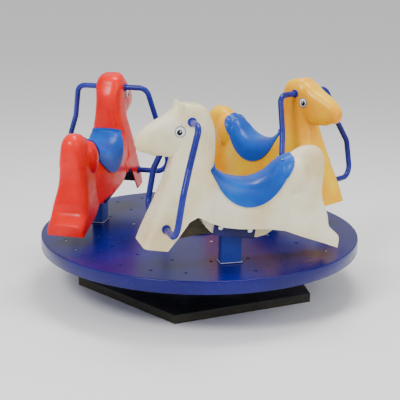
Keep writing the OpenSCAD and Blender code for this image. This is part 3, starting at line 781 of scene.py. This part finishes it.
def lathe(profile, place, sides=48):
    """A profile of (radius, height) in millimetres, turned about the crosswise axis through place."""
    verts = []
    for r, h in profile:
        for k in range(sides):
            a = 2 * math.pi * k / sides
            p = (r * math.cos(a), h, r * math.sin(a))
            verts.append(tuple((q + c) * MM for q, c in zip(p, place)))
    return verts, ring_faces(len(profile), sides)


def mirrored(part, side):
    """The same (verts, faces) on the horse's left (1) or right (-1)."""
    verts, faces = part
    return [(x, y * side, z) for x, y, z in verts], faces


def make_handle(i, name, side):
    """One bent tube handle, on the left (1) or right (-1) of horse i."""
    part = mirrored(tube(rounded_route(HANDLE_ROUTE), TUBE_R), side)
    obj = join_meshes(f"{COATS[i]}_{name}_tube", [part])
    outward(place_horse(obj, i))
    smooth(obj, 50)
    finish_piece(obj, CAROUSEL, "handle_paint", [f"{COATS[i]}_{name}_handle"])


# A collar's profile, and how far out the faces lie that collars and eyes sit on
COLLAR = [(TUBE_R, -2), (18.5, -2), (19.4, 0), (19.4, 4), (18.4, 6.2), (15.4, 7.0), (TUBE_R, 6.2)]
HEAD_FACE, LEG_FACE, EYE_FACE = 66.0, 97.9, 62.8


def make_collars():
    """The four collars of each horse, open where the tube runs through."""
    parts = []
    for side in (-1, 1):
        for (x, z), face in ((HEAD_SOCKET, HEAD_FACE), (LEG_SOCKET, LEG_FACE)):
            verts, faces = lathe(COLLAR, (x, face, z))
            parts.append(mirrored((verts, faces[:-2]), side))
    for i, coat in enumerate(COATS):
        obj = join_meshes(coat + "_collars", parts)
        outward(place_horse(obj, i))
        smooth(obj, 40)
        finish_piece(obj, CAROUSEL, "handle_paint", ["handle_collars"])


for index in range(3):
    make_handle(index, "left", 1)
    make_handle(index, "right", -1)
make_collars()


# ---------------------------------------------------------------- eyes
EYE = (249, 594)
EYE_SIDES = 40
EYE_RIM = [(20.0, -5), (23.4, -5), (23.6, 0.4), (22.4, 2.0), (20.4, 2.2), (20.0, 0)]


def domed_disc(r, rise, skirt, dx, dz, lift):
    """A low dome on a short skirt, set off from the eye's centre, as (verts, faces)."""
    dome = [(r * math.cos(a), rise * math.sin(a)) for a in np.linspace(0, math.pi / 2 * 0.98, 8)]
    return lathe([(r, -skirt)] + dome, (EYE[0] + dx, EYE_FACE + lift, EYE[1] + dz), EYE_SIDES)


def make_eyes():
    """White dome in a grey ring, with a black pupil looking ahead and a small white disc on it as a painted
    highlight.
    """
    kinds = {
        "ring": ("eye_ring", lathe(EYE_RIM, (EYE[0], EYE_FACE, EYE[1]), EYE_SIDES)),
        "white": ("eye_white", domed_disc(20.2, 4.2, 5, 0, 0, 0.6)),
        "pupil": ("eye_black", domed_disc(12.2, 2.8, 3, 3.5, -2.5, 3.4)),
        # A small white disc on the pupil: a painted highlight
        "painted_glint": ("eye_white", domed_disc(3.2, 1.0, 1, 1.0, 1.0, 5.8)),
    }
    for i, coat in enumerate(COATS):
        for kind, (material, part) in kinds.items():
            both = [mirrored(part, side) for side in (-1, 1)]
            obj = join_meshes(f"{coat}_eye_{kind}", both)
            outward(place_horse(obj, i))
            smooth(obj, 45)
            slot = "eye_black" if kind == "pupil" else "eye_white"
            node = "pupils" if kind == "pupil" else "eye_whites"
            finish_piece(obj, CAROUSEL, slot, [node], (material,))


make_eyes()


# ---------------------------------------------------------------- deck, posts and base
def make_rim():
    """Rolled steel band with a rounded top edge."""
    low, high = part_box("deck_rim")
    r = high.x
    wall, bend, inner_edge, outer_edge = 0.006, 0.0055, 0.001, 0.0015
    inner = r - wall
    top, bottom = high.z, low.z
    profile = [(inner, bottom + inner_edge), (inner + inner_edge, bottom)]
    profile += [(r - outer_edge, bottom), (r, bottom + outer_edge)]
    profile += [(r - bend + bend * math.cos(a), top - bend + bend * math.sin(a))
                for a in np.linspace(0, math.pi / 2, 8)]
    profile += [(inner, top)]
    sides = 360
    verts = [
        (p * math.cos(2 * math.pi * k / sides), p * math.sin(2 * math.pi * k / sides), h)
        for k in range(sides) for p, h in profile
    ]
    n = len(profile)
    faces = [
        (k * n + j, ((k + 1) % sides) * n + j, ((k + 1) % sides) * n + (j + 1) % n, k * n + (j + 1) % n)
        for k in range(sides) for j in range(n)
    ]
    obj = outward(new_object("deck_rim_band", verts, faces))
    smooth(obj, 50)
    finish_piece(obj, CAROUSEL, "deck_paint", ["deck_rim"])


# The weld round a post's foot, in millimetres: its outline, height, radius, corners and ripple
WELD_SIZE = (98, 58)
WELD_Z, WELD_R, WELD_CORNER = 4.2, 2.2, 4.0
WELD_STEP, RIPPLE, RIPPLE_TURN = 2.0, 0.12, 1.9


def weld_path():
    """Points every few millimetres round the rounded oblong of the post's foot."""
    half_x, half_y = WELD_SIZE[0] / 2 - WELD_CORNER, WELD_SIZE[1] / 2 - WELD_CORNER
    path = []
    for cx, cy, start in ((1, 1, 0), (-1, 1, 90), (-1, -1, 180), (1, -1, 270)):
        for a in (0, 30, 60, 90):
            t = math.radians(start + a)
            path.append((MOUNT[0] + cx * half_x + WELD_CORNER * math.cos(t),
                         cy * half_y + WELD_CORNER * math.sin(t), WELD_Z))
    path.append(path[0])
    fine = []
    for a, b in zip(path, path[1:]):
        steps = max(1, int(np.linalg.norm(np.subtract(b, a)) / WELD_STEP))
        fine += [np.array(a) + (np.array(b) - np.array(a)) * s / steps for s in range(steps)]
    return fine


def make_weld(i):
    """A rippled bead round the foot of a post."""
    fine = weld_path()
    count, sides = len(fine), 8
    up = np.array((0.0, 0.0, 1.0))
    verts, faces = [], []
    for k, p in enumerate(fine):
        d = fine[(k + 1) % count] - fine[k - 1]
        d /= np.linalg.norm(d)
        side = np.array((d[1], -d[0], 0.0))
        r = WELD_R * (1 + RIPPLE * math.sin(k * RIPPLE_TURN))
        for s in range(sides):
            a = 2 * math.pi * s / sides
            verts.append(tuple((p + r * (side * math.cos(a) + up * math.sin(a))) * MM))
    for k in range(count):
        here, after = k * sides, ((k + 1) % count) * sides
        for s in range(sides):
            step = (s + 1) % sides
            faces.append((here + s, here + step, after + step, after + s))
    obj = outward(place_horse(new_object(COATS[i] + "_post_weld", verts, faces), i))
    smooth(obj, 60)
    # The bead wears the pale weld metal as a painted highlight, though its slot is the frame's paint
    finish_piece(obj, CAROUSEL, "frame_paint", (), ("weld",))


make_rim()
for index, coat in enumerate(COATS):
    softened(coat + "_post", 0.002)
    softened(coat + "_bracket", 0.002)
    softened(coat + "_leg_board", 0.0015)
    make_weld(index)
for node in ("bracket_bolts", "cap_screws", "flange_bolts", "spindle_nut"):
    softened(node, 0.0006, 2)
# The saddle screws' paler blue is a painted highlight
softened("saddle_screws", 0.0006, 2, "saddle_bolt_with_painted_highlight")
for node in ("hub_cap", "hub", "spindle_flange", "main_arms", "cross_arms", "brace_bars"):
    softened(node, 0.001, 2)


def make_base():
    """The base board with slightly rounded edges."""
    obj = rounded_copy("base_slab", "base_board", bevel(0.003, 3, 40), 1)
    finish_piece(obj, BASE, "base_board", ["base_slab"])


make_base()


# ---------------------------------------------------------------- CAD nodes that stay as they are
for node, obj in frame["nodes"].items():
    if not obj.hide_render:
        obj.data.materials.clear()
        obj.data.materials.append(MATERIALS[SLOT_OF[node]])
